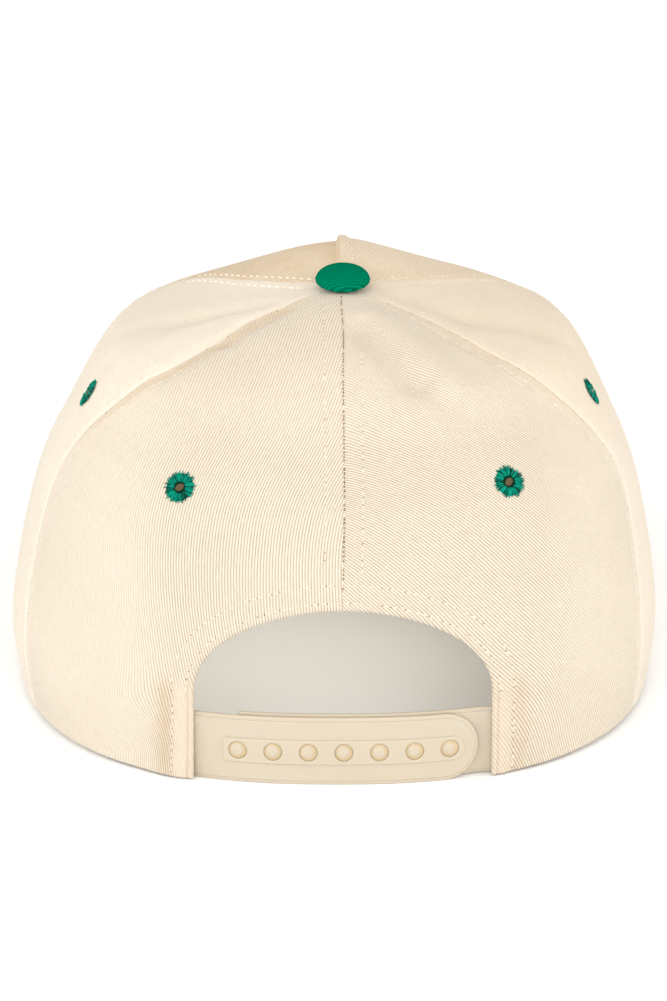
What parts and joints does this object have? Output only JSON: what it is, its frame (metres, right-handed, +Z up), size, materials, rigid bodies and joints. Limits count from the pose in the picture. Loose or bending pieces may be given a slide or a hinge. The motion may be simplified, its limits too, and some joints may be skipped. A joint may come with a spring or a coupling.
{
  "type": "trucker hat (six-panel snapback cap)",
  "caption": "Structured cotton cap with sewn crown panels, a covered button, stitched eyelets, a curved peak and an adjustable plastic snap strap across an arched back opening.",
  "frame": {"origin": "centre of the cap's footprint, on the surface that it rests on", "axes": "+X to the right as seen from behind, +Y towards the front of the peak, +Z up; the strap faces -Y"},
  "size_m": [0.1892, 0.269, 0.1228],
  "materials": {
    "crown_cotton": "cream cotton twill, matt",
    "green_cotton": "green cotton twill, matt",
    "green_thread": "green embroidery thread, soft sheen",
    "band_cotton": "cream cotton, matt",
    "strap_plastic": "cream moulded plastic, soft gloss"
  },
  "bodies": {
    "root": {"panel_back_left": "crown_cotton", "panel_back_right": "crown_cotton", "panel_side_left": "crown_cotton", "panel_side_right": "crown_cotton", "panel_front_left": "crown_cotton", "panel_front_right": "crown_cotton", "eyelet_back_left": "green_thread", "eyelet_back_right": "green_thread", "eyelet_side_left": "green_thread", "eyelet_side_right": "green_thread", "button": "green_cotton", "peak": "green_cotton", "sweatband": "band_cotton", "strap_hole_tab": "strap_plastic", "strap_peg_tab": "strap_plastic"}
  },
  "joints": []
}
